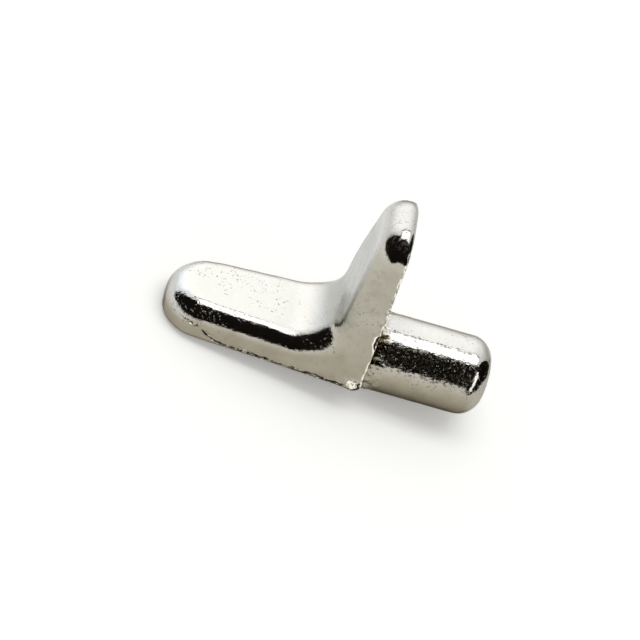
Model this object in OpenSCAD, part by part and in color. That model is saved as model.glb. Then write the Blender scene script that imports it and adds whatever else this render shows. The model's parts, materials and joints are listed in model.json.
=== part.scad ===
// Shelf support pin: an angle bracket and a round peg, cast as one piece.
// The peg pushes into a 5 mm hole in a cabinet side, the shoulder face seats
// on the cabinet, and a shelf lies on the arm with its end against the upright.
// Millimetres. +X runs along the peg to its free end, the arm reaches towards
// -X, and +Z is up. The origin is on the peg's axis, at the shoulder face.

/* [Arm] */
// Reach of the arm, from the shoulder face to its tip
arm_length = 13; // [11:0.5:18]
// Thickness of the arm
arm_thickness = 2.4; // [2:0.1:3.4]
// Width of the arm at its tip
tip_width = 5.2; // [4.6:0.1:7]
// Corner radius of the tip, seen from above
tip_corner_radius = 2.2; // [1.4:0.1:2.4]

/* [Upright] */
// Height of the upright, from the underside of the arm to its top
upright_height = 11.8; // [9:0.2:16]
// Thickness of the upright where it stands on the arm
upright_base_thickness = 2.9; // [2.6:0.1:4]
// Thickness of the upright at its top
upright_top_thickness = 1.8; // [1.8:0.1:2.6]
// Width of the upright at its top
top_width = 5.5; // [4.8:0.1:7]
// Corner radius of the upright's top, seen from the shelf
top_corner_radius = 2.1; // [1.4:0.1:2.3]

/* [Body] */
// Width of the body at its heel, where the arm and the upright meet
heel_width = 7; // [6:0.2:9]
// Radius of the hollow corner between the arm and the upright
inner_fillet = 2.7; // [1.5:0.1:4]
// Rounding of the edges on the shelf side
edge_radius = 1.2; // [0.6:0.1:1.3]
// Rounding of the edges round the underside and the shoulder face
back_edge_radius = 0.3; // [0.15:0.05:0.4]
// Rounding of the heel
heel_radius = 0.4; // [0.2:0.1:1]

/* [Peg] */
// Diameter of the peg
peg_diameter = 5; // [4:0.1:6]
// Length of the peg, from the shoulder face to its free end
peg_length = 7.6; // [6:0.2:12]
// Rounding of the peg's free end
peg_end_radius = 1.5; // [0.5:0.1:1.8]
// Height of the peg's axis over the underside of the arm
peg_axis_height = 0.75; // [0.2:0.05:2]

/* [Hidden] */

corner_steps = 8;                 // facets round each corner of the outline
edge_steps = 8;                   // facets across the shelf-side edge
back_steps = 3;                   // facets across the back edge
fillet_steps = 8;                 // facets on each side of the heel, round the fillet
heel_steps = 3;                   // facets round the heel
peg_fn = 96;
tiny = 0.000001;

peg_r = peg_diameter / 2;
bottom_z = -peg_axis_height;
top_z = bottom_z + upright_height;
shelf_z = bottom_z + arm_thickness;

// Draft: what each side face leans in by, per mm towards the tip and the top
draft_to_tip = (heel_width - tip_width) / 2 / arm_length;
draft_to_top = (heel_width - top_width) / 2 / upright_height;
function half_width(p) = heel_width / 2 + draft_to_tip * p.x - draft_to_top * (p.y - bottom_z);

// The front of the upright leans back by this much per mm of height
front_lean = (upright_base_thickness - upright_top_thickness) / (top_z - shelf_z);
function front_x(z) = -upright_base_thickness + front_lean * (z - shelf_z);

// The side view, as [x, z] points. Its shelf side is a path from the tip, along
// the arm, round the fillet and up to the top: u is the distance along it.
fillet_z = shelf_z + inner_fillet;
fillet_centre = [front_x(fillet_z) - inner_fillet * norm([1, front_lean]), fillet_z];
front_angle = -atan(front_lean);
function fillet_at(a) = fillet_centre + inner_fillet * [cos(a), sin(a)];

arm_run = fillet_centre.x + arm_length;
fillet_run = inner_fillet * (front_angle + 90) * PI / 180;
front_foot = fillet_at(front_angle);
front_top = [front_x(top_z), top_z];
front_run = norm(front_top - front_foot);
path_run = arm_run + fillet_run + front_run;

function fillet_angle(u) = -90 + (u - arm_run) / inner_fillet * 180 / PI;
function fillet_u(a) = arm_run + (a + 90) * inner_fillet * PI / 180;
function shelf_point(u) =
    u < arm_run ? [u - arm_length, shelf_z]
    : u < arm_run + fillet_run ? fillet_at(fillet_angle(u))
    : front_foot + (front_top - front_foot) * (u - arm_run - fillet_run) / front_run;

// Opposite each point of the path is one on the underside or the shoulder face,
// found along a ray from the fillet's centre where the path is the fillet
heel_centre = [-heel_radius, bottom_z + heel_radius];
function ray_to_heel(d) =
    let (w = fillet_centre - heel_centre, b = w * d)
        fillet_centre + d * (sqrt(max(0, b * b - w * w + heel_radius * heel_radius)) - b);
function ray_to_back(a) =
    let (
        d = [cos(a), sin(a)],
        reach = min(-fillet_centre.x / max(d.x, tiny), (fillet_z - bottom_z) / -d.y),
        flat = fillet_centre + d * reach
    )
        flat.x > heel_centre.x && flat.y < heel_centre.y ? ray_to_heel(d) : flat;
back_foot = ray_to_back(front_angle);
function back_point(u) =
    u < arm_run ? [u - arm_length, bottom_z]
    : u < arm_run + fillet_run ? ray_to_back(fillet_angle(u))
    : back_foot + ([0, top_z] - back_foot) * (u - arm_run - fillet_run) / front_run;

// Outline of the shelf side as [u, y, outward normal u, outward normal y],
// up the near side from the tip to the top, and down the far side
tip_r = min(tip_corner_radius, half_width([-arm_length, shelf_z]) - 0.1);
top_r = min(top_corner_radius, half_width(front_top) - 0.1);
heel_start = atan2(bottom_z - fillet_z, heel_centre.x - fillet_centre.x);
heel_end = atan2(heel_centre.y - fillet_z, -fillet_centre.x);
fillet_stations = concat(
    [for (i = [0 : fillet_steps]) -90 + (heel_start + 90) * i / fillet_steps],
    [for (i = [1 : heel_steps]) heel_start + (heel_end - heel_start) * i / heel_steps],
    [for (i = [1 : fillet_steps]) heel_end + (front_angle - heel_end) * i / fillet_steps]
);
function side_half(u) = half_width(shelf_point(u));
function corner(r, end_u, sign, a) =
    let (u = end_u - sign * r * (1 - sin(a)))
        [u, side_half(u) - r * (1 - cos(a)), sign * sin(a), cos(a)];
side = concat(
    [for (i = [corner_steps : -1 : 0]) corner(tip_r, 0, -1, 90 * i / corner_steps)],
    [for (a = fillet_stations) let (u = fillet_u(a))
        if (u > tip_r && u < path_run - top_r) [u, side_half(u), 0, 1]],
    [for (i = [0 : corner_steps]) corner(top_r, path_run, 1, 90 * i / corner_steps)]
);
side_count = len(side);
outline = concat(
    [for (p = side) [p[0], -p[1], p[2], -p[3]]],
    [for (i = [side_count - 1 : -1 : 0]) side[i]]
);

// Rings from the shelf side to the back, as [inset, share of thickness, depth]
rings = concat(
    [for (i = [0 : edge_steps]) let (a = 90 * i / edge_steps)
        [edge_radius * (1 - sin(a)), 0, edge_radius * (1 - cos(a))]],
    [for (i = [0 : back_steps]) let (a = 90 * i / back_steps)
        [back_edge_radius * (1 - cos(a)), 1, -back_edge_radius * (1 - sin(a))]]
);
function body_point(p, ring) =
    let (
        u = p[0] - ring[0] * p[2],
        shelf = shelf_point(u),
        through = back_point(u) - shelf,
        m = shelf + through * (ring[1] + ring[2] / norm(through))
    )
        [m.x, (p[1] - ring[0] * p[3]) * half_width(m) / half_width(shelf), m.y];

// Arm and upright, round on the shelf side and crisp round the back
module angle_body() {
    n = len(outline);
    last = (len(rings) - 1) * n;
    polyhedron(
        points = [for (ring = rings, p = outline) body_point(p, ring)],
        faces = concat(
            [for (k = [0 : len(rings) - 2], i = [0 : n - 1]) let (j = (i + 1) % n)
                [k * n + i, k * n + j, (k + 1) * n + j, (k + 1) * n + i]],
            [for (i = [0 : side_count - 2]) [n - 1 - i, n - 2 - i, i + 1, i]],
            [for (i = [0 : side_count - 2])
                [last + i, last + i + 1, last + n - 2 - i, last + n - 1 - i]]
        )
    );
}

// Half outline of the peg: a round root under the heel, the shank, a round end
module peg_outline() {
    intersection() {
        circle(peg_r);
        translate([0, -peg_r]) square(peg_r);
    }
    square([peg_r, peg_length - peg_end_radius]);
    square([peg_r - peg_end_radius, peg_length]);
    translate([peg_r - peg_end_radius, peg_length - peg_end_radius]) intersection() {
        circle(peg_end_radius);
        square(peg_end_radius);
    }
}

module peg() {
    rotate([0, 90, 0]) rotate_extrude($fn = peg_fn) peg_outline($fn = peg_fn);
}

module shelf_pin() {
    color("silver") {
        angle_body();
        peg();
    }
}

shelf_pin();
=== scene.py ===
import json
import math
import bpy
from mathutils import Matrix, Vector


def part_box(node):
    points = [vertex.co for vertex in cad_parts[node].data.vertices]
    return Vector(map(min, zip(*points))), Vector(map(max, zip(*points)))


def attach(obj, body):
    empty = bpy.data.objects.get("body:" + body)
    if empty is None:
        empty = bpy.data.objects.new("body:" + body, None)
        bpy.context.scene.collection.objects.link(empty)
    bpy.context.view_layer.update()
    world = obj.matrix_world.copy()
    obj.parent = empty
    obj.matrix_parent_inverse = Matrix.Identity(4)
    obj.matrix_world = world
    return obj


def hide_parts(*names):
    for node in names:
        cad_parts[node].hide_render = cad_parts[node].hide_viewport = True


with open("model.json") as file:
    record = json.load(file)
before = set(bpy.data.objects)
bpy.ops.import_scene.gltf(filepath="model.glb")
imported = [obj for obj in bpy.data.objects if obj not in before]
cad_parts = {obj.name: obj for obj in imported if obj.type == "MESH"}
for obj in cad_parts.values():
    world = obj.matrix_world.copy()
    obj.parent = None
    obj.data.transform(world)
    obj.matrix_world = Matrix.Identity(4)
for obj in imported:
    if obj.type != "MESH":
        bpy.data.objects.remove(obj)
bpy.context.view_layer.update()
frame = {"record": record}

from types import SimpleNamespace

import bmesh
import bpy
import numpy as np
from mathutils import Matrix, Vector, noise

# Shelf support pin in bright nickel: an angle with a round peg, lying on a table.
# Metres throughout. +X runs along the peg, -X along the arm, +Z up the upright.

mm = 0.001
quarter = math.pi / 2
low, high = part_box("shelf_pin")
mounts = {m["name"]: m for m in frame["record"]["mounts"]}

# the casting: the angle is lofted from its shelf side to its back, the peg is turned
castingShape = {
    "armThickness": 2.4 * mm,
    "tipWidth": 5.2 * mm,
    "tipCorner": 2.2 * mm,    # seen from above
    "uprightBase": 2.9 * mm,  # thickness on the arm
    "uprightTop": 1.8 * mm,   # thickness at the top
    "topWidth": 5.5 * mm,
    "topCorner": 2.05 * mm,   # seen from the shelf
    "heelWidth": 7.0 * mm,
    "fillet": 2.7 * mm,
    "heel": 0.55 * mm,
    "softEdge": 1.2 * mm,     # round on the shelf side
    "softTip": 0.38 * mm,     # how much rounder it gets at the tip
    "softTipReach": 3.6 * mm,
    "neck": 0.45 * mm,        # how much tighter up the front of the upright
    "neckReach": 3.4 * mm,
    "neckUp": 1.87 * mm,      # from the fillet's upper end
    "swell": 0.34 * mm,       # how much rounder where the fillet rises
    "swellReach": 1.9 * mm,
    "swellDown": 1.15 * mm,   # from the fillet's upper end
    "backEdge": 0.3 * mm,     # crisp round at the back
    "backTop": 0.25 * mm,     # how much rounder it gets over the top
    "backTopFrom": 0.375,     # share of the turn over the top at which that starts
    "pegEnd": 1.5 * mm,
}
castingMesh = {
    "step": 0.085 * mm,                # spacing of the points
    "cornerShare": 0.8,                # their number round a corner and across, against that spacing
    "acrossShare": 0.72,
    "finer": (1, 0.75, 0.3, 0.75, 1),  # spacing on the arm, round the heel, up the upright
    "wallSteps": 14,
    "wallCrowding": 1.6,               # they lie closer towards the back
    "backSteps": 7,
    "pegRoot": 29,                     # rings round the peg's root and its free end
    "pegEnd": 25,
}

shape = castingShape
armReach = -low.x
pegReach = high.x
bodyTop = high.z
pegRadius = mounts["peg"]["dims"]["r_mm"] * mm
bodyBottom = mounts["shelf_face"]["pos_m"][2] - shape["armThickness"]
shelfLevel = bodyBottom + shape["armThickness"]

# what the sides lean in by towards the tip and the top, and the front with height
draftToTip = (shape["heelWidth"] - shape["tipWidth"]) / 2 / armReach
draftToTop = (shape["heelWidth"] - shape["topWidth"]) / 2 / (bodyTop - bodyBottom)
frontLean = (shape["uprightBase"] - shape["uprightTop"]) / (bodyTop - shelfLevel)

# the shelf side seen from the side: along the arm, round the fillet, up the front
filletX = -shape["uprightBase"] + (frontLean - math.hypot(1, frontLean)) * shape["fillet"]
filletZ = shelfLevel + shape["fillet"]
frontAngle = -math.atan(frontLean)
footX = filletX + shape["fillet"] * math.cos(frontAngle)
footZ = filletZ + shape["fillet"] * math.sin(frontAngle)
armRun = filletX + armReach
filletEnd = armRun + shape["fillet"] * (frontAngle + quarter)
frontRun = math.hypot(-shape["uprightTop"] - footX, bodyTop - footZ)
pathRun = filletEnd + frontRun


def halfWidth(x, z):
    return shape["heelWidth"] / 2 + draftToTip * x - draftToTop * (z - bodyBottom)


def filletAngle(u):
    return -quarter + np.clip(u - armRun, 0, filletEnd - armRun) / shape["fillet"]


def frontShare(u):
    return np.clip(u - filletEnd, 0, None) / frontRun


def shelfPoint(u):
    a = filletAngle(u)
    s = frontShare(u)
    x = filletX + shape["fillet"] * np.cos(a) + (-shape["uprightTop"] - footX) * s
    z = filletZ + shape["fillet"] * np.sin(a) + (bodyTop - footZ) * s
    return np.where(u < armRun, u - armReach, x), np.where(u < armRun, shelfLevel, z)


def backOfRay(a):
    # where a ray from the fillet's centre leaves through the back, round the heel
    dx, dz = np.cos(a), np.sin(a)
    toShoulder = -filletX / np.maximum(dx, 1e-9)
    toUnderside = (filletZ - bodyBottom) / np.maximum(-dz, 1e-9)
    reach = np.minimum(toShoulder, toUnderside)
    x, z = filletX + dx * reach, filletZ + dz * reach
    heelX, heelZ = -shape["heel"], bodyBottom + shape["heel"]
    wx, wz = filletX - heelX, filletZ - heelZ
    b = wx * dx + wz * dz
    t = np.sqrt(np.maximum(0, b * b - wx * wx - wz * wz + shape["heel"] ** 2)) - b
    rounded = (x > heelX) & (z < heelZ)
    return np.where(rounded, filletX + dx * t, x), np.where(rounded, filletZ + dz * t, z)


backFootX, backFootZ = [float(v) for v in backOfRay(np.array(frontAngle))]


def backPoint(u):
    rayX, rayZ = backOfRay(filletAngle(u))
    s = frontShare(u)
    x = np.where(u < armRun, u - armReach, rayX - backFootX * s)
    z = np.where(u < armRun, bodyBottom, rayZ + (bodyTop - backFootZ) * s)
    return x, z


def ease(x):
    x = np.clip(x, 0, 1)
    return x * x * (3 - 2 * x)


def smoothStep(a, b, x):
    return ease((x - a) / (b - a))


def hump(u, centre, height, reach):
    return height * ease(1 - abs(u - centre) / reach)


def stepsBetween(a, b, step):
    return list(np.linspace(a, b, max(1, round(abs(b - a) / step)) + 1))


def sideStations():
    # up a side from the tip to the top: distance run, how far the corner has turned, which end
    # that corner is at, and its radius
    step = castingMesh["step"]
    tip, top = shape["tipCorner"], shape["topCorner"]
    turns = np.linspace(0, quarter, round(tip * quarter / step * castingMesh["cornerShare"]) + 1)
    heelFrom = math.atan2(bodyBottom - filletZ, -shape["heel"] - filletX)
    heelTo = math.atan2(bodyBottom + shape["heel"] - filletZ, -filletX)
    heelRuns = [armRun + (a + quarter) * shape["fillet"] for a in (heelFrom, heelTo)]
    stops = [tip, armRun, *heelRuns, filletEnd, pathRun - top]
    stations = [(tip * (1 - math.sin(a)), a, -1, tip) for a in turns[::-1]]
    for a, b, share in zip(stops, stops[1:], castingMesh["finer"]):
        stations += [(u, 0, 1, 0) for u in stepsBetween(a, b, step * share)[1:]]
    stations += [(pathRun - top * (1 - math.sin(a)), a, 1, top) for a in turns[1:]]
    return np.array(stations)


def rimOf(stations, across):
    # the shelf side's outline: up the near side, across the top, down the far side and across
    # the tip, as distance run, place across, and the way out along and across
    u, turn, end, radius = stations.T
    width = halfWidth(*shelfPoint(u)) - radius * (1 - np.cos(turn))
    outAlong, outAcross = end * np.sin(turn), np.cos(turn)
    return np.concatenate([
        np.stack([u, -width, outAlong, -outAcross], -1),
        [(u[-1], width[-1] * t, 1, 0) for t in across[1:-1]],
        np.stack([u, width, outAlong, outAcross], -1)[::-1],
        [(u[0], -width[0] * t, -1, 0) for t in across[1:-1]],
    ])


def ringTurns():
    # each ring's turn over the soft edge, share of the way down the wall, turn over the back edge
    softRings = round(shape["softEdge"] * quarter / castingMesh["step"])
    wall = np.linspace(0, 1, castingMesh["wallSteps"] + 1)[1:-1]
    turns = [(a, 0, 0) for a in np.linspace(0, quarter, softRings + 1)]
    turns += [(quarter, 1 - (1 - t) ** castingMesh["wallCrowding"], 0) for t in wall]
    turns += [(quarter, 1, a) for a in np.linspace(0, quarter, castingMesh["backSteps"] + 1)]
    return turns


def loftRing(rim, softTurn, share, backTurn):
    # a ring's points, and how far each is from the back
    u, y, outAlong, outAcross = rim.T
    soft = shape["softEdge"] + hump(u, 0, shape["softTip"], shape["softTipReach"])
    soft = soft - hump(u, filletEnd + shape["neckUp"], shape["neck"], shape["neckReach"])
    soft = soft + hump(u, filletEnd - shape["swellDown"], shape["swell"], shape["swellReach"])
    back = shape["backEdge"] + shape["backTop"] * smoothStep(shape["backTopFrom"], 1, outAlong)
    inset = soft * (1 - math.sin(softTurn)) + back * (1 - math.cos(backTurn))
    depth = soft * (1 - math.cos(softTurn)) * (1 - share) - back * (1 - math.sin(backTurn)) * share
    u = u - inset * outAlong
    shelfX, shelfZ = shelfPoint(u)
    backX, backZ = backPoint(u)
    thickness = np.hypot(backX - shelfX, backZ - shelfZ)
    f = share + depth / thickness
    x, z = shelfX + (backX - shelfX) * f, shelfZ + (backZ - shelfZ) * f
    y = (y - inset * outAcross) * halfWidth(x, z) / halfWidth(shelfX, shelfZ)
    return np.stack([x, y, z], -1), thickness * (1 - f)


def capGrid(start, rows, cols, firstInner):
    # a cap's point numbers: its border is the ring that begins at start, the rest is new
    grid = np.zeros((rows, cols + 1), int)
    grid[:, 0] = start + np.arange(rows)
    grid[:, cols] = start + 2 * rows + cols - 2 - np.arange(rows)
    grid[-1, 1:cols] = start + rows + np.arange(cols - 1)
    grid[0, 1:cols] = start + 2 * rows + 2 * cols - 3 - np.arange(cols - 1)
    inner = np.arange((rows - 2) * (cols - 1)).reshape(rows - 2, cols - 1)
    grid[1:-1, 1:cols] = firstInner + inner
    return grid


def angleMesh():
    stations = sideStations()
    rows = len(stations)
    cols = round(shape["heelWidth"] / castingMesh["step"] * castingMesh["acrossShare"])
    across = np.linspace(-1, 1, cols + 1)
    rim = rimOf(stations, across)
    count = len(rim)
    turns = ringTurns()
    rings = [loftRing(rim, *turn) for turn in turns]
    points, depths = [np.concatenate(part) for part in zip(*rings)]
    faces = []
    for k in range(len(turns) - 1):
        for i in range(count):
            j = (i + 1) % count
            faces.append((k * count + i, (k + 1) * count + i, (k + 1) * count + j, k * count + j))

    share = ((across[1:-1] + 1) / 2)[None, :, None]
    for start, isBack in ((0, False), ((len(turns) - 1) * count, True)):
        grid = capGrid(start, rows, cols, len(points))
        near, far = grid[1:-1, 0], grid[1:-1, cols]
        inner = points[near][:, None] * (1 - share) + points[far][:, None] * share
        points = np.concatenate([points, inner.reshape(-1, 3)])
        depths = np.concatenate([depths, np.repeat(depths[near], cols - 1)])
        for i in range(rows - 1):
            for j in range(cols):
                quad = (grid[i, j], grid[i, j + 1], grid[i + 1, j + 1], grid[i + 1, j])
                faces.append(quad if isBack else quad[::-1])
    return points, faces, depths


def pegMesh():
    # turned about X: a ball-shaped root under the heel, the shank and a round end
    step, end = castingMesh["step"], shape["pegEnd"]
    shank = pegReach - end
    rootTurns = np.linspace(0, quarter, castingMesh["pegRoot"] + 1)
    endTurns = np.linspace(0, quarter, castingMesh["pegEnd"] + 1)
    line = [(-pegRadius * math.cos(a), pegRadius * math.sin(a)) for a in rootTurns]
    line += [(x, pegRadius) for x in stepsBetween(0, shank, step)[1:]]
    line += [(shank + end * math.sin(a), pegRadius - end * (1 - math.cos(a))) for a in endTurns[1:]]
    line += [(pegReach, r) for r in stepsBetween(pegRadius - end, 0, step)[1:]]
    turns = round(2 * math.pi * pegRadius / step)
    points, rings, faces = [], [], []
    for x, r in line:
        onAxis = r < 1e-9
        rings.append([len(points) + (0 if onAxis else i) for i in range(turns)])
        angles = [0] if onAxis else np.arange(turns) * 2 * math.pi / turns
        points += [(x, r * math.sin(a), -r * math.cos(a)) for a in angles]
    for a, b in zip(rings, rings[1:]):
        for i in range(turns):
            j = (i + 1) % turns
            faces.append(list(dict.fromkeys([a[i], b[i], b[j], a[j]])))
    return np.array(points), faces


def linked(name, data):
    piece = bpy.data.objects.new(name, data)
    bpy.context.scene.collection.objects.link(piece)
    return piece


def newPiece(name, points, faces):
    mesh = bpy.data.meshes.new(name)
    mesh.from_pydata(np.asarray(points).tolist(), [], [tuple(int(i) for i in f) for f in faces])
    mesh.update()
    return linked(name, mesh)


def normalsOf(piece):
    flat = np.zeros(len(piece.data.vertices) * 3)
    piece.data.vertices.foreach_get("normal", flat)
    return flat.reshape(-1, 3)


# one number for each kind of wave, so that they don't follow each other
seeds = {"broad": 7.3, "ripple": 12.3, "pegBroad": 18.3, "drift": 21, "patch": 31, "tear": 41,
         "pegGrain": 51, "pegRoot": 61, "burr": 71}


def waves(point, size, seed):
    s = seeds[seed]
    return noise.noise(Vector(point) / size + Vector((s, s * 1.7, s * 0.6)))


def torn(share, tear):
    plain, ragged = share
    return plain + ragged * tear


flash = {
    "height": 0.15 * mm,   # torn metal left along the parting line by the underside
    "width": 0.055 * mm,
    "level": 0.26 * mm,    # its distance from the underside
    "rise": 1.00 * mm,     # how far it climbs round the tip
    "riseFrom": 4.4 * mm,  # and where, measured from the tip
    "riseTo": 1.3 * mm,
    "drift": 0.08 * mm,    # how far it strays up and down
    "driftSize": 1.3 * mm,
    "patch": 0.9 * mm,     # length of its broken runs
    "patchEdge": 0.25,
    "ragged": 0.20 * mm,
    "tear": (0.25, 2.0),   # plain share and torn share of its height
    "groove": 0.6,         # depth of the groove over it, as a share of its height
    "grooveUp": 1.7,       # and that groove's place, in widths
    "lip": 0.085 * mm,     # the thin lip up the back of the upright
    "lipWidth": 0.07 * mm,
    "lipFrom": 0.12 * mm,
    "lipTear": (0.75, 1.3),
    "most": 0.085 * mm,
    "depth": 1.3 * mm,     # it only grows this near the back
    "facing": (0.3, 0.7),  # and on the sides, where the skin faces sideways
}


def flashAt(p):
    # a ridge of torn metal with a groove over it, or the lip up the back of the upright
    above, behind = p[2] - bodyBottom, -p[0]
    tear = waves(p, flash["ragged"], "tear")
    if behind <= above:
        offset = (behind - flash["lipFrom"]) / flash["lipWidth"]
        return flash["lip"] * math.exp(-offset * offset) * torn(flash["lipTear"], tear)
    edge = flash["patchEdge"]
    patch = smoothStep(-edge, edge, waves(p, flash["patch"], "patch"))
    climb = smoothStep(armReach - flash["riseFrom"], armReach - flash["riseTo"], behind)
    level = flash["level"] + flash["rise"] * climb
    level += flash["drift"] * waves(p, flash["driftSize"], "drift")
    offset = (above - level) / flash["width"]
    groove = flash["groove"] * math.exp(-(offset - flash["grooveUp"]) ** 2)
    return flash["height"] * (math.exp(-offset * offset) - groove) * patch * torn(flash["tear"], tear)


heelBurr = {
    "place": (-0.62 * mm, 0.45 * mm),  # from the shoulder, and above the underside
    "size": 0.36 * mm,
    "height": 0.15 * mm,
    "ragged": 0.26 * mm,
    "tear": (0.9, 2.2),
}


def burrAt(p):
    dx, dz = p[0] - heelBurr["place"][0], p[2] - bodyBottom - heelBurr["place"][1]
    near = math.exp(-(dx * dx + dz * dz) / heelBurr["size"] ** 2)
    return heelBurr["height"] * near * torn(heelBurr["tear"], waves(p, heelBurr["ragged"], "burr"))


castSkin = {
    "broad": 0.018 * mm,      # height of the slow waves of the cast skin
    "broadSize": 2.4 * mm,
    "pegBroad": 0.0108 * mm,  # and of those on the peg
    "ripple": 0.010 * mm,     # and of the short ones
    "rippleSize": 0.8 * mm,
    "pegGrain": 0.007 * mm,
    "pegGrainSize": 0.45 * mm,
}


def roughenAngle(points, normals, depths):
    for i, p in enumerate(points):
        lift = castSkin["broad"] * waves(p, castSkin["broadSize"], "broad")
        lift += castSkin["ripple"] * waves(p, castSkin["rippleSize"], "ripple")
        sideways = abs(normals[i][1])
        if depths[i] < flash["depth"] and sideways > flash["facing"][0]:
            metal = (flashAt(p) + burrAt(p)) * smoothStep(*flash["facing"], sideways)
            lift += min(metal, flash["most"])
        p += normals[i] * lift


pegRoot = {
    "height": 0.10 * mm,  # rough skin where the peg leaves the shoulder
    "size": 0.30 * mm,
    "reach": 1.3 * mm,
}


def roughenPeg(points, normals):
    for i, p in enumerate(points):
        lift = castSkin["pegBroad"] * waves(p, castSkin["broadSize"], "pegBroad")
        lift += castSkin["pegGrain"] * waves(p, castSkin["pegGrainSize"], "pegGrain")
        near = smoothStep(pegRoot["reach"], 0, p[0])
        lift += pegRoot["height"] * near * waves(p, pegRoot["size"], "pegRoot")
        p += normals[i] * lift


def joined(body, peg):
    join = body.modifiers.new("pegJoin", "BOOLEAN")
    join.operation = "UNION"
    join.solver = "EXACT"
    join.object = peg
    view = bpy.context.evaluated_depsgraph_get()
    mesh = bpy.data.meshes.new_from_object(body.evaluated_get(view))
    body.modifiers.clear()
    bpy.data.objects.remove(peg)
    return mesh


pegCorner = {
    "band": 0.2 * mm,  # the corner between the peg and the shoulder
    "from": -0.2 * mm,
    "to": 0.25 * mm,
    "merge": 0.004 * mm,
    "rounds": 6,       # times that it is smoothed
}


def cornerPoints(bm):
    found = []
    for v in bm.verts:
        fromPeg = abs(math.hypot(v.co.y, v.co.z) - pegRadius)
        inReach = pegCorner["from"] < v.co.x < pegCorner["to"] and v.co.z > bodyBottom
        if inReach and fromPeg < pegCorner["band"]:
            found.append(v)
    return found


def makeCasting():
    points, faces, depths = angleMesh()
    body = newPiece("nickelCasting", points, faces)
    roughenAngle(points, normalsOf(body), depths)
    body.data.vertices.foreach_set("co", points.ravel())
    pegPoints, pegFaces = pegMesh()
    peg = newPiece("pegBlank", pegPoints, pegFaces)
    roughenPeg(pegPoints, normalsOf(peg))
    peg.data.vertices.foreach_set("co", pegPoints.ravel())
    body.data = joined(body, peg)

    # the corner where the peg leaves the shoulder runs into a small fillet
    bm = bmesh.new()
    bm.from_mesh(body.data)
    bmesh.ops.remove_doubles(bm, verts=cornerPoints(bm), dist=pegCorner["merge"])
    corner = cornerPoints(bm)
    for _ in range(pegCorner["rounds"]):
        bmesh.ops.smooth_vert(bm, verts=corner, factor=0.5,
                              use_axis_x=True, use_axis_y=True, use_axis_z=True)
    for f in bm.faces:
        f.smooth = True
    openEdges = sum(not e.is_manifold for e in bm.edges)
    print("casting:", len(bm.verts), "points,", openEdges, "open edges,",
          round(bm.calc_volume() * 1e9, 1), "cubic mm")
    bm.to_mesh(body.data)
    bm.free()
    body.data.name = "nickelCasting"
    return body


print("casting")
casting = makeCasting()
print("triangles", sum(len(p.vertices) - 2 for p in casting.data.polygons))


def addNode(tree, kind, **values):
    node = tree.nodes.new(kind)
    for name, value in values.items():
        setattr(node, name, value)
    return node


def wire(tree, source, target):
    tree.links.new(source, target)


def feed(tree, value, socket):
    if isinstance(value, (int, float, tuple)):
        socket.default_value = value
    else:
        wire(tree, value, socket)


def maths(tree, operation, *values):
    node = addNode(tree, "ShaderNodeMath", operation=operation)
    for socket, value in zip(node.inputs, values):
        feed(tree, value, socket)
    return node.outputs[0]


def times(tree, first, *others):
    for other in others:
        first = maths(tree, "MULTIPLY", first, other)
    return first


def highest(tree, first, *others):
    for other in others:
        first = maths(tree, "MAXIMUM", first, other)
    return first


def addScaled(tree, value, scale, base):
    return maths(tree, "MULTIPLY_ADD", value, scale, base)


def ramp(tree, value, span, result=(0.0, 1.0)):
    node = addNode(tree, "ShaderNodeMapRange", interpolation_type="SMOOTHSTEP")
    wire(tree, value, node.inputs["Value"])
    for name, number in zip(("From Min", "From Max", "To Min", "To Max"), (*span, *result)):
        node.inputs[name].default_value = number
    return node.outputs["Result"]


def blendColour(tree, share, first, second):
    node = addNode(tree, "ShaderNodeMix", data_type="RGBA")
    for name, value in (("Factor_Float", share), ("A_Color", first), ("B_Color", second)):
        feed(tree, value, next(i for i in node.inputs if i.identifier == name))
    return next(o for o in node.outputs if o.identifier == "Result_Color")


def noiseOf(at, size, detail=2.0, roughness=0.5):
    node = addNode(at.tree, "ShaderNodeTexNoise")
    wire(at.tree, at.place, node.inputs["Vector"])
    node.inputs["Scale"].default_value = 1 / size
    node.inputs["Detail"].default_value = detail
    node.inputs["Roughness"].default_value = roughness
    return node.outputs["Fac"]


def spotsOf(at, size, span, detail=2.0, roughness=0.5, result=(0.0, 1.0)):
    return ramp(at.tree, noiseOf(at, size, detail, roughness), span, result)


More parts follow.
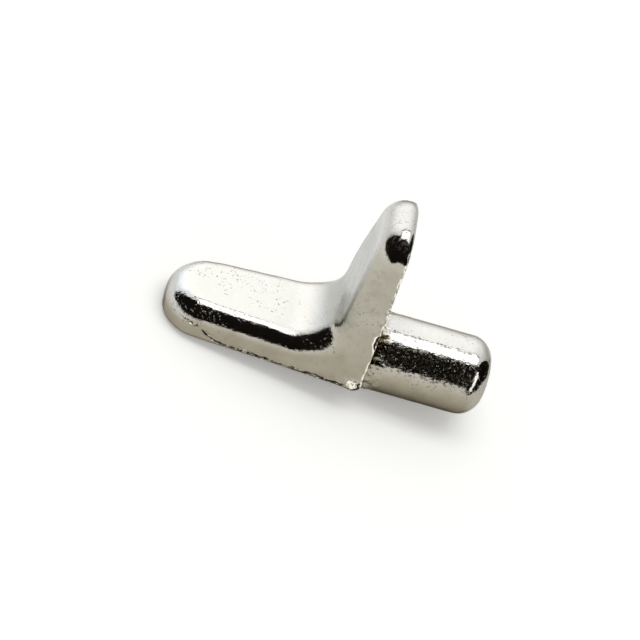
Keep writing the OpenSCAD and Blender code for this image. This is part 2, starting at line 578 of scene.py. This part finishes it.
# the bright nickel plating, what casting, wear and dirt have left on it, and painted light and shade
nickelPlate = {
    "bright": (0.61, 0.59, 0.545, 1),      # painted highlight: the upper faces lighter, as light falls from above
    "brightFacing": (0.35, 1.0),           # how far a face looks up for that
    "dull": (0.370, 0.335, 0.262, 1),      # painted shade: the sides darker, low down
    "dullHigh": (0.440, 0.420, 0.355, 1),  # and less painted shade higher up
    "dullHighAt": 4.5 * mm,
    "tarnish": (0.15, 0.125, 0.075, 1),    # painted shade underneath
    "tarnishFacing": (0.50, -0.30),
    "patch": 1.2 * mm,                     # uneven borders between these
    "patchDepth": 0.6,
    "smudge": (0.27, 0.235, 0.165, 1),     # faint stains down the sides
    "smudgeSize": 0.6 * mm,
    "smudgeSpots": (0.46, 0.70),
    "smudgeMost": 0.45,
    "smudgeFacing": (0.8, 0.3),
    "pegEnd": (0.40, 0.385, 0.335, 1),     # painted light: the peg's end face lighter
    "pegEndFacing": (0.25, 0.7),
    "rootReach": (1.5 * mm, 0.35 * mm),    # the peg's root, and how it fades out
    "cap": (0.545, 0.53, 0.50, 1),         # the upright's top
    "capFrom": (10.0 * mm, 10.6 * mm),
    "tip": (0.60, 0.605, 0.60, 1),         # painted highlight: the arm's tip lighter
    "tipFacing": (-0.15, -0.55),
    "tipReach": (-9.5 * mm, -10.5 * mm),
    "tipHeight": (0.0, 1.3 * mm),
    "tipPlain": 0.8,
    "rim": (0.42, 0.40, 0.36, 1),          # mirrored at a low angle
    "glance": (0.80, 0.55),
    "glancePlain": 0.7,
    "pegEndPlainFacing": (0.2, 0.8),
    "pegEndPlain": 0.5,
    "roughness": 0.07,                     # and twice that in dull patches
    "roughSize": 0.9 * mm,
    "roughSpots": (0.3, 0.75),
}


def skinPlace(tree):
    # a point of the skin, the way it faces, and whether it is on the peg, at its root or on the tip
    place = addNode(tree, "ShaderNodeTexCoord").outputs["Object"]
    split = addNode(tree, "ShaderNodeSeparateXYZ")
    wire(tree, place, split.inputs[0])
    facing = addNode(tree, "ShaderNodeSeparateXYZ")
    wire(tree, addNode(tree, "ShaderNodeNewGeometry").outputs["Normal"], facing.inputs[0])
    x, y, z = split.outputs
    faceX, faceY, faceZ = facing.outputs
    onPeg = ramp(tree, x, (0.0, 0.1 * mm))
    return SimpleNamespace(
        tree=tree, place=place, x=x, y=y, z=z,
        faceX=faceX, faceZ=faceZ, sideways=maths(tree, "ABSOLUTE", faceY),
        onPeg=onPeg,
        atRoot=times(tree, ramp(tree, x, nickelPlate["rootReach"]), onPeg),
        atTip=times(tree, ramp(tree, faceX, nickelPlate["tipFacing"]),
                    ramp(tree, x, nickelPlate["tipReach"]), ramp(tree, z, nickelPlate["tipHeight"])),
    )


def distanceTo(at, x, z):
    dx = maths(at.tree, "SUBTRACT", at.x, x)
    dz = maths(at.tree, "SUBTRACT", at.z, z)
    squares = maths(at.tree, "ADD", times(at.tree, dx, dx), times(at.tree, dz, dz))
    return dx, dz, maths(at.tree, "SQRT", squares)


pits = {
    "colour": (0.28, 0.265, 0.235, 1),
    "depth": 0.012 * mm,
    "size": 0.16 * mm,
    "spots": (0.63, 0.69),
    "crowd": 2.6 * mm,                     # they lie in clusters
    "crowdSpots": (0.48, 0.62),
    "crowdLeast": 0.10,
    "tipReach": (-7.0 * mm, -9.5 * mm),    # and on the far side of the arm's tip
    "tipSide": (-0.2 * mm, 0.8 * mm),
    "topFrom": (9.2 * mm, 10.4 * mm),      # and on the upright's top
    "topMost": 0.7,
    "noneFacing": (0.35, 0.50),            # but not on its side, near the top
    "noneFrom": (8.2 * mm, 8.8 * mm),
    "largeColour": (0.40, 0.39, 0.36, 1),  # larger ones on the upright's top
    "largeSize": 0.26 * mm,
    "largeSpots": (0.60, 0.66),
    "largeFrom": (10.3 * mm, 10.8 * mm),
}


def smallPits(at):
    tree = at.tree
    spots = spotsOf(at, pits["size"], pits["spots"], 2.0, 0.6)
    crowd = spotsOf(at, pits["crowd"], pits["crowdSpots"], result=(pits["crowdLeast"], 1.0))
    onTip = times(tree, ramp(tree, at.x, pits["tipReach"]), ramp(tree, at.y, pits["tipSide"]))
    onTop = ramp(tree, at.z, pits["topFrom"], (0.0, pits["topMost"]))
    small = times(tree, spots, highest(tree, crowd, onTip, onTop))
    none = times(tree, ramp(tree, at.sideways, pits["noneFacing"]), ramp(tree, at.z, pits["noneFrom"]))
    return times(tree, small, maths(tree, "SUBTRACT", 1.0, none))


grit = {
    "colour": (0.070, 0.047, 0.024, 1),  # brown grains on the peg's flanks
    "roughness": 0.38,
    "size": 0.19 * mm,
    "spots": (0.51, 0.63),
    "facing": (0.90, 0.78),
    "lowFacing": (0.24, 0.42),
    "endFacing": (0.35, 0.10),
    "upperFrom": (9.9 * mm, 10.4 * mm),  # and on the side of the upright's top
    "upperFacing": (0.40, 0.55),
}


def gritGrains(at):
    tree = at.tree
    onTop = times(tree, ramp(tree, at.z, grit["upperFrom"]),
                  ramp(tree, at.sideways, grit["upperFacing"]))
    return times(tree, spotsOf(at, grit["size"], grit["spots"]), highest(tree, at.onPeg, onTop),
                 ramp(tree, at.faceZ, grit["facing"]), ramp(tree, at.faceZ, grit["lowFacing"]),
                 ramp(tree, at.faceX, grit["endFacing"]))


skinGrain = {
    "peel": 0.015 * mm,   # height of the orange peel of the casting
    "pegPeel": 0.017 * mm,
    "peelSize": 0.30 * mm,
    "fine": 0.0055 * mm,
    "pegFine": 0.0030 * mm,
    "fineSize": 0.13 * mm,
    "knots": 0.085 * mm,  # on the flanks of the peg's root
    "knotSize": 0.26 * mm,
    "knotFacing": (0.90, 0.72),
    "knotLeast": 0.3,
    "calm": 0.55,         # what is left of it all near the upright's top
    "calmFrom": (8.0 * mm, 8.6 * mm),
}


def grainHeight(at, small):
    # orange peel of the casting, coarser on the peg and knotted at its root, and the pits
    tree, grain = at.tree, skinGrain
    peel = addScaled(tree, at.onPeg, grain["pegPeel"] - grain["peel"], grain["peel"])
    peel = times(tree, noiseOf(at, grain["peelSize"], 2.0, 0.55), peel)
    flank = ramp(tree, at.faceZ, grain["knotFacing"], (grain["knotLeast"], 1.0))
    knots = times(tree, noiseOf(at, grain["knotSize"], 2.0, 0.6), flank, at.atRoot)
    height = addScaled(tree, knots, grain["knots"], peel)
    fine = addScaled(tree, at.onPeg, grain["pegFine"] - grain["fine"], grain["fine"])
    fine = times(tree, noiseOf(at, grain["fineSize"], 1.0), fine)
    height = maths(tree, "ADD", fine, height)
    height = times(tree, height, ramp(tree, at.z, grain["calmFrom"], (1.0, grain["calm"])))
    return addScaled(tree, small, -pits["depth"], height)


def platingAndPaintedShade(at):
    # painted light and shade: lighter on top, darker down the sides, darker still underneath, in uneven
    # patches
    tree, look = at.tree, nickelPlate
    up = addScaled(tree, noiseOf(at, look["patch"], 5.0, 0.65), look["patchDepth"], at.faceZ)
    highUp = ramp(tree, at.z, (bodyBottom, look["dullHighAt"]))
    colour = blendColour(tree, highUp, look["dull"], look["dullHigh"])
    smudges = spotsOf(at, look["smudgeSize"], look["smudgeSpots"], 4.0, 0.65, (0.0, look["smudgeMost"]))
    smudges = times(tree, smudges, ramp(tree, at.faceZ, look["smudgeFacing"]))
    for share, over in (
        (ramp(tree, up, look["brightFacing"]), look["bright"]),
        (smudges, look["smudge"]),
        (ramp(tree, up, look["tarnishFacing"]), look["tarnish"]),
        # painted light on the peg's end face
        (ramp(tree, at.faceX, look["pegEndFacing"]), look["pegEnd"]),
    ):
        colour = blendColour(tree, share, colour, over)
    return colour


pegDirtAndGreyTop = {
    "stain": (0.43, 0.40, 0.32, 1),
    "stainSize": 0.45 * mm,
    "stainSpots": (0.44, 0.60),
    "colour": (0.070, 0.055, 0.032, 1),
    "edge": (1.55 * mm, 1.15 * mm),
    "ragged": 1.2 * mm,
    "raggedSize": 0.24 * mm,
    "facing": (0.96, 0.89),
    "lowFacing": (0.2, 0.4),
    "haze": (0.50, 0.49, 0.475, 1),  # greyer along the top of the peg
    "hazeReach": (3.2 * mm, 0.6 * mm),
    "hazeShare": (0.15, 0.8),
    "hazeFacing": (0.95, 0.985),
}


def rootDirtAndGreyTop(at, colour):
    # stains and dirt where the peg leaves the shoulder, and a greyer tone along its top
    tree, dirt = at.tree, pegDirtAndGreyTop
    stained = times(tree, spotsOf(at, dirt["stainSize"], dirt["stainSpots"], 3.0, 0.6), at.atRoot)
    edge = addScaled(tree, noiseOf(at, dirt["raggedSize"], 3.0, 0.6), dirt["ragged"], at.x)
    dirty = times(tree, ramp(tree, edge, dirt["edge"]), at.onPeg,
                  ramp(tree, at.faceZ, dirt["facing"]), ramp(tree, at.faceZ, dirt["lowFacing"]))
    haze = times(tree, ramp(tree, at.x, dirt["hazeReach"], dirt["hazeShare"]), at.onPeg,
                 ramp(tree, at.faceZ, dirt["hazeFacing"]))
    for share, over in ((stained, dirt["stain"]), (dirty, dirt["colour"]), (haze, dirt["haze"])):
        colour = blendColour(tree, share, colour, over)
    return colour


satinFront = {
    "colour": (0.455, 0.457, 0.443, 1),  # the front of the upright
    "high": (0.61, 0.615, 0.60, 1),      # and lighter near its top: painted light
    "highFrom": (8.0 * mm, 10.8 * mm),
    "roughness": 0.26,
    "hollow": (1.25, 1.02),              # the fillet, in radii from its axis
    "onUpright": (-7.5 * mm, -6.0 * mm),
    "towardShelf": (-0.25, -0.75),
    "notSide": (0.50, 0.30),
    "cornerSide": (0.97, 0.82),          # the edge between the front and the side
    "cornerFront": (-0.1, -0.4),
    "cornerFrom": (3.0 * mm, 4.2 * mm),
    "cornerTo": (8.8 * mm, 7.8 * mm),
    "ahead": (-0.72, -0.95),             # facing the shelf squarely
    "cupped": (0.6 * mm, 2.0 * mm),      # in the fillet, from its axis towards the upright
    "cuppedMost": 0.7,
}


def satinOf(at):
    # how satin the front of the upright and the hollow of the fillet are, how much of that shows
    # in the colour, and where the upright faces the shelf
    tree, front, fillet = at.tree, satinFront, shape["fillet"]
    _, _, fromAxis = distanceTo(at, filletX, filletZ)
    hollow = ramp(tree, fromAxis, tuple(fillet * share for share in front["hollow"]))
    onUpright = ramp(tree, at.x, front["onUpright"])
    towardShelf = times(tree, ramp(tree, at.faceX, front["towardShelf"]), onUpright)
    corner = times(tree, ramp(tree, at.sideways, front["cornerSide"]),
                   ramp(tree, at.faceX, front["cornerFront"]),
                   ramp(tree, at.z, front["cornerFrom"]), ramp(tree, at.z, front["cornerTo"]))
    satin = times(tree, highest(tree, hollow, towardShelf), ramp(tree, at.sideways, front["notSide"]))
    satin = highest(tree, satin, corner)
    cuppedSpan = tuple(filletX + reach for reach in front["cupped"])
    cupped = times(tree, hollow, ramp(tree, at.x, cuppedSpan, (0.0, front["cuppedMost"])))
    ahead = times(tree, ramp(tree, at.faceX, front["ahead"]), onUpright)
    return satin, times(tree, satin, highest(tree, ahead, cupped)), towardShelf


creviceShade = (0.03, 0.026, 0.02, 1)  # near black: painted shade in the parting line's open seam, in the gap by the heel's burr and along the slit by the shoulder
partingLine = {
    "drop": 0.10 * mm,       # its mean distance below the flash
    "stray": 0.24 * mm,
    "straySize": 1.1 * mm,
    "ragged": 0.34 * mm,
    "raggedSize": 0.22 * mm,
    "width": (0.085 * mm, 0.055 * mm),
    "runSize": 0.75 * mm,
    "runSpots": (0.49, 0.53),
    "tipRuns": 0.11,         # longer runs as it climbs round the tip
    "glintDown": 0.11 * mm,  # painted glints on slivers of flash below it
    "glintWidth": (0.06 * mm, 0.03 * mm),
    "glintSize": 0.17 * mm,
    "glintSpots": (0.56, 0.62),
    "facing": (0.75, 0.95),
    "heelGap": (0.0, -0.3 * mm),
}


def seamAndGlints(at):
    # the open parting line on the side, painted dark as shade, and painted glints below it
    tree, line = at.tree, partingLine
    climb = ramp(tree, at.x, (flash["riseFrom"] - armReach, flash["riseTo"] - armReach))
    level = addScaled(tree, climb, flash["rise"], bodyBottom + flash["level"] - line["drop"])
    level = addScaled(tree, noiseOf(at, line["straySize"]), line["stray"], level)
    off = maths(tree, "SUBTRACT", at.z, level)
    ragged = maths(tree, "SUBTRACT", noiseOf(at, line["raggedSize"], 2.0, 0.6), 0.5)
    off = addScaled(tree, ragged, line["ragged"], off)
    runs = addScaled(tree, climb, line["tipRuns"], noiseOf(at, line["runSize"], 3.0, 0.65))
    runs = ramp(tree, runs, line["runSpots"])
    onSide = times(tree, ramp(tree, at.sideways, line["facing"]), ramp(tree, at.x, line["heelGap"]))
    below = maths(tree, "ABSOLUTE", maths(tree, "ADD", off, line["glintDown"]))
    seam = times(tree, ramp(tree, maths(tree, "ABSOLUTE", off), line["width"]), runs, onSide)
    glints = times(tree, ramp(tree, below, line["glintWidth"]), runs,
                   spotsOf(at, line["glintSize"], line["glintSpots"]), onSide)
    return seam, glints


edgeHighlight = {
    "colour": (0.90, 0.88, 0.80, 1),   # painted highlight along the edge of the shoulder
    "width": (-0.21 * mm, -0.105 * mm),
    "stray": 0.35 * mm,
    "straySize": 0.7 * mm,
    "onShoulder": (0.03 * mm, 0.01 * mm),
    "top": (10.4 * mm, 10.2 * mm),
    "facing": (0.05, 0.2),
    "runSize": 0.35 * mm,
    "runSpots": (0.40, 0.48),
    "knot": 3.45 * mm,                 # height of a place where it comes forward
    "knotReach": (0.85 * mm, 0.25 * mm),
    "knotOut": 0.17 * mm,
    "slit": (0.085 * mm, 0.055 * mm),  # painted shade along a slit beside that
    "slitReach": (0.65 * mm, 0.50 * mm),
    "slitFacing": (0.3, 0.6),
}


def edgeHighlightAndSlitShade(at):
    # painted highlight up the edge of the shoulder, and painted shade along a slit beside the place
    # where it comes forward
    tree, worn = at.tree, edgeHighlight
    stray = maths(tree, "SUBTRACT", noiseOf(at, worn["straySize"]), 0.5)
    behind = addScaled(tree, stray, worn["stray"], at.x)
    fromKnot = maths(tree, "ABSOLUTE", maths(tree, "SUBTRACT", at.z, worn["knot"]))
    behind = addScaled(tree, ramp(tree, fromKnot, worn["knotReach"]), worn["knotOut"], behind)
    edge = times(tree, ramp(tree, behind, worn["width"]), ramp(tree, at.x, worn["onShoulder"]),
                 ramp(tree, at.z, worn["top"]), ramp(tree, at.sideways, worn["facing"]),
                 spotsOf(at, worn["runSize"], worn["runSpots"], 3.0, 0.6))
    slit = times(tree, ramp(tree, maths(tree, "ABSOLUTE", behind), worn["slit"]),
                 ramp(tree, fromKnot, worn["slitReach"]), ramp(tree, at.sideways, worn["slitFacing"]))
    return edge, slit


burrMarks = {
    "up": 0.1 * mm,             # from the burr's middle to theirs
    "ragged": 0.5 * mm,
    "raggedSize": 0.22 * mm,
    "spikeSize": 0.14 * mm,     # painted highlight on torn metal
    "spikeSpots": (0.40, 0.50),
    "spikeReach": (0.95, 0.7),  # in burr sizes from the middle
    "shadeFrom": (0.75, 0.95),  # and painted shade in a gap round it, down towards the peg
    "shadeTo": (1.55, 1.35),
    "shadeAlong": (0.75, -0.65),
    "shadeSide": (0.06 * mm, 0.12 * mm),
    "shadeFacing": (0.15, 0.35),
}


def burrHighlightAndShade(at):
    # painted highlight on the torn metal at the heel, and painted shade in the gap beside it
    tree, marks, size = at.tree, burrMarks, heelBurr["size"]
    placeX, placeUp = heelBurr["place"]
    dx, dz, away = distanceTo(at, placeX, bodyBottom + placeUp + marks["up"])
    ragged = maths(tree, "SUBTRACT", noiseOf(at, marks["raggedSize"], 2.0, 0.7), 0.5)
    away = addScaled(tree, ragged, marks["ragged"], away)
    spans = [marks[name] for name in ("spikeReach", "shadeFrom", "shadeTo")]
    spikeReach, shadeFrom, shadeTo = [tuple(size * share for share in span) for span in spans]
    burrHighlight = times(tree, spotsOf(at, marks["spikeSize"], marks["spikeSpots"], 2.0, 0.6),
                   ramp(tree, away, spikeReach))
    alongX, alongZ = marks["shadeAlong"]
    beside = addScaled(tree, dx, alongX, times(tree, dz, alongZ))
    shade = times(tree, ramp(tree, away, shadeFrom), ramp(tree, away, shadeTo),
                  ramp(tree, beside, marks["shadeSide"]), ramp(tree, at.sideways, marks["shadeFacing"]))
    return burrHighlight, shade


def makeNickel():
    look = nickelPlate
    material = bpy.data.materials.new("nickelPlate")
    material.use_nodes = True
    tree = material.node_tree
    shader = tree.nodes["Principled BSDF"]
    shader.inputs["Metallic"].default_value = 1.0
    at = skinPlace(tree)

    small = smallPits(at)
    grains = gritGrains(at)
    bump = addNode(tree, "ShaderNodeBump")
    bump.inputs["Strength"].default_value = 1.0
    bump.inputs["Distance"].default_value = 1.0
    wire(tree, grainHeight(at, small), bump.inputs["Height"])
    wire(tree, bump.outputs["Normal"], shader.inputs["Normal"])

    # each mark in turn, over what is already there
    satin, satinShows, towardShelf = satinOf(at)
    # the satin front's colour, lighter towards the top as painted light
    satinColour = blendColour(tree, ramp(tree, at.z, satinFront["highFrom"]),
                              satinFront["colour"], satinFront["high"])
    large = times(tree, spotsOf(at, pits["largeSize"], pits["largeSpots"], 2.0, 0.6),
                  ramp(tree, at.z, pits["largeFrom"]))
    seam, glints = seamAndGlints(at)
    edge, slit = edgeHighlightAndSlitShade(at)
    burrHighlight, shade = burrHighlightAndShade(at)
    # the painted highlights together: the shoulder's edge, the burr's torn metal and the glints below
    # the parting line
    edge = highest(tree, edge, burrHighlight, glints)
    colour = rootDirtAndGreyTop(at, platingAndPaintedShade(at))
    for share, over in (
        (ramp(tree, at.z, look["capFrom"]), look["cap"]),
        # painted highlight on the arm's tip
        (at.atTip, look["tip"]),
        (satinShows, satinColour),
        (small, pits["colour"]),
        (grains, grit["colour"]),
        (large, pits["largeColour"]),
        # painted shade in the parting line's open seam
        (seam, creviceShade),
        (edge, edgeHighlight["colour"]),
        # painted shade in the gap by the burr and along the slit
        (highest(tree, shade, slit), creviceShade),
    ):
        colour = blendColour(tree, share, colour, over)
    wire(tree, colour, shader.inputs["Base Color"])

    # seen at a low angle the skin mirrors darker, but for its plain places
    glance = addNode(tree, "ShaderNodeLayerWeight")
    glance.inputs["Blend"].default_value = 0.5
    plain = highest(tree, towardShelf, edge,
                    ramp(tree, at.faceX, look["pegEndPlainFacing"], (0.0, look["pegEndPlain"])),
                    ramp(tree, glance.outputs["Facing"], look["glance"], (0.0, look["glancePlain"])),
                    times(tree, at.atTip, look["tipPlain"]))
    wire(tree, blendColour(tree, plain, look["rim"], (1.0, 1.0, 1.0, 1)), shader.inputs["Specular Tint"])

    least = look["roughness"]
    rough = spotsOf(at, look["roughSize"], look["roughSpots"], 3.0, 0.5, (least, least * 2))
    extra = times(tree, satin, satinFront["roughness"] - least)
    extra = addScaled(tree, grains, grit["roughness"], extra)
    wire(tree, maths(tree, "ADD", rough, extra), shader.inputs["Roughness"])
    return material


print("nickel plate")
casting.data.materials.clear()
casting.data.materials.append(makeNickel())
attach(casting, "root")
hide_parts("shelf_pin")

cameraSetting = {
    "azimuth": -9.19,  # degrees round from the -Y side
    "elevation": 42.0,
    "roll": 22.0,
    "distance": 220 * mm,
    "aim": (-3.275 * mm, 0.832 * mm, 0.331 * mm),
    "lens": 200.75,
}


def turnTo(piece, right, back):
    piece.rotation_mode = "QUATERNION"
    piece.rotation_quaternion = Matrix((right, back.cross(right), back)).transposed().to_quaternion()


def makeCamera():
    setting = cameraSetting
    data = bpy.data.cameras.new("camera")
    data.lens = setting["lens"]
    data.clip_start = 10 * mm
    data.clip_end = 5
    camera = linked("camera", data)
    a, e, r = (math.radians(setting[k]) for k in ("azimuth", "elevation", "roll"))
    away = Vector((math.sin(a) * math.cos(e), -math.cos(a) * math.cos(e), math.sin(e)))
    level = Vector((math.cos(a), math.sin(a), 0))
    up = away.cross(level) * math.cos(r) - level * math.sin(r)
    camera.location = away * setting["distance"]
    back = (camera.location - Vector(setting["aim"])).normalized()
    turnTo(camera, up.cross(back).normalized(), back)
    bpy.context.scene.camera = camera
    return away


print("camera")
towardCamera = makeCamera()

# the pin lies on the table on its tip's underside and its peg's root
table = {
    "colour": (0.86, 0.86, 0.855, 1),
    "roughness": 0.9,
    "lift": 0.255,     # white added where the table is seen or mirrored
    "slope": 0.138,
    "size": 130 * mm,
    "gap": 0.03 * mm,  # keeps the rough skin clear of it
}

# the table's own directions: up from it, along its front, and away from the camera
tableUp = Vector((table["slope"], 0, 1)).normalized()
tableSide = tableUp.cross(towardCamera).normalized()
tableAway = tableUp.cross(tableSide)
tableCentre = Vector((0, 0, -pegRadius)) - tableUp * table["gap"]


def placed(side, away, up):
    return tableSide * side + tableAway * away + tableUp * up


def bearing(turn, tilt, distance):
    # turn goes from the camera's side (0) over the top (90) to the far side (180), tilt to the right
    a, b = math.radians(turn), math.radians(tilt)
    return placed(math.sin(b), -math.cos(b) * math.cos(a), math.cos(b) * math.sin(a)) * distance


def seenOrMirrored(tree):
    path = addNode(tree, "ShaderNodeLightPath")
    rays = ("Is Camera Ray", "Is Glossy Ray", "Is Transmission Ray")
    return highest(tree, *(path.outputs[name] for name in rays))


def matt(name, colour, roughness):
    material = bpy.data.materials.new(name)
    material.use_nodes = True
    shader = material.node_tree.nodes["Principled BSDF"]
    shader.inputs["Base Color"].default_value = colour
    shader.inputs["Roughness"].default_value = roughness
    shader.inputs["Specular IOR Level"].default_value = 0.0
    return material, shader


squareCorners = ((-1, -1), (1, -1), (1, 1), (-1, 1))


def makeTable():
    half = table["size"] / 2
    corners = [tableCentre + placed(s * half, a * half, 0) for s, a in squareCorners]
    floor = newPiece("tableTop", corners, [(0, 1, 2, 3)])
    material, shader = matt("whiteTable", table["colour"], table["roughness"])
    tree = material.node_tree
    shader.inputs["Emission Color"].default_value = (1, 1, 1, 1)
    lift = times(tree, seenOrMirrored(tree), table["lift"])
    wire(tree, lift, shader.inputs["Emission Strength"])
    floor.data.materials.append(material)


# turn, tilt and roll in degrees, size along the front and across it, brightness, and whether it
# lights the table or only the pin
lamps = {
    "softBox": {"turn": 92, "tilt": 1.9, "roll": 18, "distance": 0.45, "size": (0.465, 0.225),
                "level": 2.2, "lights": True},
    "sideWindow": {"turn": 30, "tilt": 60, "roll": 0, "distance": 0.6, "size": (0.13, 0.74),
                   "level": 1.9, "lights": False},
}


def standing(lamp, distance):
    # where a lamp is, the way back from it, and its right
    centre = bearing(lamp["turn"], lamp["tilt"], distance)
    back = centre.normalized()
    right = (tableSide - back * tableSide.dot(back)).normalized()
    roll = math.radians(lamp["roll"])
    right = right * math.cos(roll) + back.cross(right) * math.sin(roll)
    return centre, back, right


def makeLamps():
    for name, lamp in lamps.items():
        width, depth = lamp["size"]
        data = bpy.data.lights.new(name, "AREA")
        data.shape = "RECTANGLE"
        data.size = width
        data.size_y = depth
        data.energy = lamp["level"] * math.pi * width * depth
        piece = linked(name, data)
        piece.location, back, right = standing(lamp, lamp["distance"])
        turnTo(piece, right, back)
        piece.visible_diffuse = lamp["lights"]


sheetSteps = 30  # rows of faces in a curved card or sheet


def hang(name, points, faces, material):
    # a card or a sheet that is seen only by mirroring
    piece = newPiece(name, points, faces)
    piece.data.materials.append(material)
    piece.visible_camera = False
    piece.visible_diffuse = False
    piece.visible_shadow = False
    return piece


def hangCard(name, corners, material):
    hang(name, corners, [range(len(corners))], material)


def hangSheet(name, fromTurn, toTurn, tilts, distance, material):
    starts, ends = np.broadcast_to(fromTurn, tilts.shape), np.broadcast_to(toTurn, tilts.shape)
    points = []
    for k in range(sheetSteps + 1):
        turns = starts + (ends - starts) * k / sheetSteps
        points += [bearing(turn, tilt, distance) for turn, tilt in zip(turns, tilts)]
    wide = len(tilts)
    faces = [(k * wide + j, k * wide + j + 1, (k + 1) * wide + j + 1, (k + 1) * wide + j)
             for k in range(sheetSteps) for j in range(wide - 1)]
    return hang(name, points, faces, material)


# black cards that the pin mirrors, in degrees of turn and tilt
cards = {
    "colour": (0.012, 0.010, 0.008, 1),
    "distance": 0.62,
    "from": -3.5,              # the lower edge of the left and the front card
    "edge": -89.0,             # where the left card begins
    "leftTop": 79.0,           # left of the soft box
    "leftFall": (-60.0, 0.3),  # it is lower from this tilt on, by this much a degree
    "frontTilt": (-23.0, 47.0),
    "frontTop": 80.0,          # over the camera
    "frontSlope": 0.38,        # it rises to the right, along the soft box
    "gapFoot": -10.0,          # its lower edge makes room for a strip of table
    "gapRise": 17.0,
    "gapOpens": (5.0, 22.0),
    "gapCloses": (32.0, 40.0),
    "rightFrom": 40.0,
    "rightTurn": (92.0, 186.0),
    "rightDistance": 0.60,
    "sideTurn": (-20.0, 92.0),
    "sideDistance": 0.75,
    "trim": 0.032,             # dark trim round the soft box
    "trimBehind": 1.02,
    # corners of the cards lying on the table, in mm to the side and away
    "sideCorners": ((24, -12), (64, -6), (64, -64), (44, -64)),
    "farCorners": ((20, 24), (27, 19), (64, 26), (64, 64), (36, 64)),
    "lyingAt": 0.05 * mm,
    "columns": {"left": 20, "front": 24, "right": 12, "side": 8},
}


def makeCards():
    black, _ = matt("blackCard", cards["colour"], 1.0)
    reach, foot, columns = cards["distance"], cards["from"], cards["columns"]
    frontFrom, frontTo = cards["frontTilt"]
    left = np.linspace(cards["edge"], frontFrom, columns["left"])
    fallFrom, fall = cards["leftFall"]
    top = cards["leftTop"] - fall * np.clip(fallFrom - left, 0, None)
    hangSheet("leftCard", foot, top, left, reach, black)
    front = np.linspace(frontFrom, frontTo, columns["front"])
    gap = smoothStep(*cards["gapOpens"], front) - smoothStep(*cards["gapCloses"], front)
    foot = np.maximum(foot, cards["gapFoot"] + cards["gapRise"] * gap)
    hangSheet("frontCard", foot, cards["frontTop"] + cards["frontSlope"] * front, front, reach, black)
    right = np.linspace(cards["rightFrom"], -cards["edge"], columns["right"])
    hangSheet("rightCard", *cards["rightTurn"], right, cards["rightDistance"], black)
    side = np.linspace(frontTo, -cards["edge"], columns["side"])
    hangSheet("sideCard", *cards["sideTurn"], side, cards["sideDistance"], black)

    box = lamps["softBox"]
    centre, back, right = standing(box, box["distance"] * cards["trimBehind"])
    ahead = back.cross(right)
    w, d = (size / 2 + cards["trim"] for size in box["size"])
    hangCard("softBoxTrim", [centre + right * x * w + ahead * y * d for x, y in squareCorners], black)
    lying = tableCentre + tableUp * cards["lyingAt"]
    for name, corners in (("sideLowCard", cards["sideCorners"]), ("farLowCard", cards["farCorners"])):
        hangCard(name, [lying + placed(x * mm, y * mm, 0) for x, y in corners], black)


backSheet = {
    "colour": (0.97, 0.99, 1.0, 1),
    "level": 1.74,
    "turn": (84.0, 181.0),
    "distance": 0.9,
    "columns": 48,
    # it loses this share of its level between one tilt or turn and another
    "tiltFades": ((-25, 35, 0.42), (-45, -85, 0.40)),
    "turnFades": ((150, 180, 0.25), (112, 88, 0.30)),
}


def makeBackSheet():
    # the white sheet behind, brightest to the left and fading to the right and downwards
    material = bpy.data.materials.new("litSheet")
    material.use_nodes = True
    tree = material.node_tree
    tree.nodes.clear()
    glow = addNode(tree, "ShaderNodeEmission")
    glow.inputs["Color"].default_value = backSheet["colour"]
    level = addNode(tree, "ShaderNodeAttribute", attribute_name="glow")
    wire(tree, level.outputs["Fac"], glow.inputs["Strength"])
    wire(tree, glow.outputs[0], addNode(tree, "ShaderNodeOutputMaterial").inputs["Surface"])
    tilts = np.linspace(cards["edge"], cards["rightFrom"] + 1, backSheet["columns"])
    turns = np.linspace(*backSheet["turn"], sheetSteps + 1)
    sheet = hangSheet("backSheet", *backSheet["turn"], tilts, backSheet["distance"], material)
    levels = np.full((len(turns), len(tilts)), backSheet["level"])
    for start, end, loss in backSheet["tiltFades"]:
        levels *= 1 - loss * smoothStep(start, end, tilts)[None, :]
    for start, end, loss in backSheet["turnFades"]:
        levels *= 1 - loss * smoothStep(start, end, turns)[:, None]
    sheet.data.attributes.new("glow", "FLOAT", "POINT").data.foreach_set("value", levels.ravel())


studio = {
    "fill": ((1, 1, 0.965, 1), 0.62),  # colour and level of what lights the table from all round
    "white": ((1, 1, 1, 1), 1.0),      # and of what is seen or mirrored past the cards
}


def makeWorld():
    world = bpy.data.worlds.new("studio")
    bpy.context.scene.world = world
    world.use_nodes = True
    tree = world.node_tree
    tree.nodes.clear()
    mix = addNode(tree, "ShaderNodeMixShader")
    wire(tree, seenOrMirrored(tree), mix.inputs["Fac"])
    for socket, (colour, level) in zip(mix.inputs[1:3], (studio["fill"], studio["white"])):
        sky = addNode(tree, "ShaderNodeBackground")
        sky.inputs["Color"].default_value = colour
        sky.inputs["Strength"].default_value = level
        wire(tree, sky.outputs[0], socket)
    wire(tree, mix.outputs[0], addNode(tree, "ShaderNodeOutputWorld").inputs["Surface"])


print("table and lamps")
makeTable()
makeLamps()
makeCards()
makeBackSheet()
makeWorld()
bpy.context.scene.view_settings.view_transform = "Standard"
